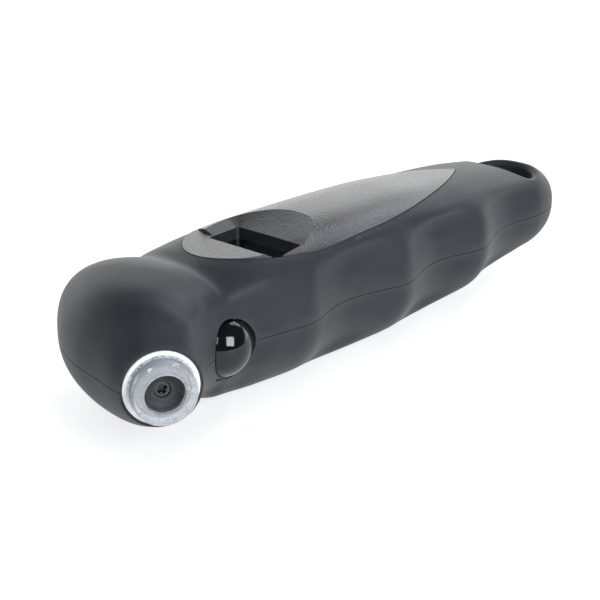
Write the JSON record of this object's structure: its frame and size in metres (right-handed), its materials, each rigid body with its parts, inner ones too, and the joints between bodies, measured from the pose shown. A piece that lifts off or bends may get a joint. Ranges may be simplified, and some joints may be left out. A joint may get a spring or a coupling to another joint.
{
  "type": "digital tyre pressure gauge",
  "caption": "Handheld digital tyre pressure gauge with a pistol-shaped grip, a lit clear nozzle, a domed push button and a recessed display",
  "frame": {"origin": "centre of the resting flat on the belly of the grip, with the gauge lying display up", "axes": "+Z out of the display, +X along the grip from the head to the tail, -Y towards the nozzle side where the fingers hold"},
  "size_m": [0.1547, 0.0464, 0.0325],
  "materials": {
    "housing": "soft-touch coat, fine spark-eroded grain",
    "housing_inner": "soft-touch coat",
    "screw_steel": "zinc plated",
    "clear_plastic": "clear moulded acrylic with facets inside",
    "white_plastic": "white, smooth",
    "black_rubber": "matt nitrile rubber",
    "brass": "turned",
    "board_green": "solder mask",
    "led_lens": "cast resin lens",
    "silicone": "translucent silicone tube",
    "gloss_black": "polished",
    "black_plastic": "moulded",
    "grey_plastic": "coarse spark-eroded grain with a slight sheen",
    "smoked_lens": "smoked lens",
    "lcd_glass": "dark display glass",
    "acrylic": "frosted light guide",
    "elastomer": "striped rubber",
    "crystal_can": "drawn can",
    "ceramic": "fired ceramic",
    "cell_steel": "nickel plated",
    "spring_metal": "nickel-plated phosphor bronze",
    "lead_sheath": "wire insulation"
  },
  "bodies": {
    "housing": {"top_shell": "housing", "bottom_shell": "housing", "housing_screws": "screw_steel", "board_screws": "screw_steel", "nozzle_collar": "clear_plastic", "nozzle_flange": "white_plastic", "valve_seal": "black_rubber", "depressor_pin": "brass", "chuck_body": "brass", "light_board": "board_green", "nozzle_leds": "led_lens", "sensor_tube": "silicone", "tactile_switch": "black_plastic", "display_insert": "grey_plastic", "display_window": "smoked_lens", "lcd_panel": "lcd_glass", "backlight_guide": "acrylic", "backlight_led": "led_lens", "display_holder": "white_plastic", "elastomer_connector": "elastomer", "circuit_board": "board_green", "microchip": "black_plastic", "timing_crystal": "crystal_can", "chip_components": "ceramic", "pressure_sensor": "black_plastic", "button_cells": "cell_steel", "battery_tray": "black_plastic", "positive_contact": "spring_metal", "negative_contact": "spring_metal", "battery_leads": "lead_sheath"},
    "button": {"power_button": "gloss_black"},
    "plunger": {"switch_plunger": "black_plastic"},
    "door": {"battery_door": "housing_inner"}
  },
  "joints": [
    {"name": "button_press", "type": "slide", "parent": "housing", "child": "button", "axis": [0, 1, 0], "range_m": [0, 0.0005], "stiffness_N_per_m": 3000},
    {"name": "plunger_press", "type": "slide", "parent": "housing", "child": "plunger", "axis": [0, 1, 0], "range_m": [0, 0.0005]},
    {"name": "door_lift", "type": "slide", "parent": "housing", "child": "door", "axis": [0, 0, -1], "range_m": [0, 0.01]}
  ],
  "couplings": [
    {"joint": "plunger_press", "follows": "button_press", "ratio": 1}
  ]
}
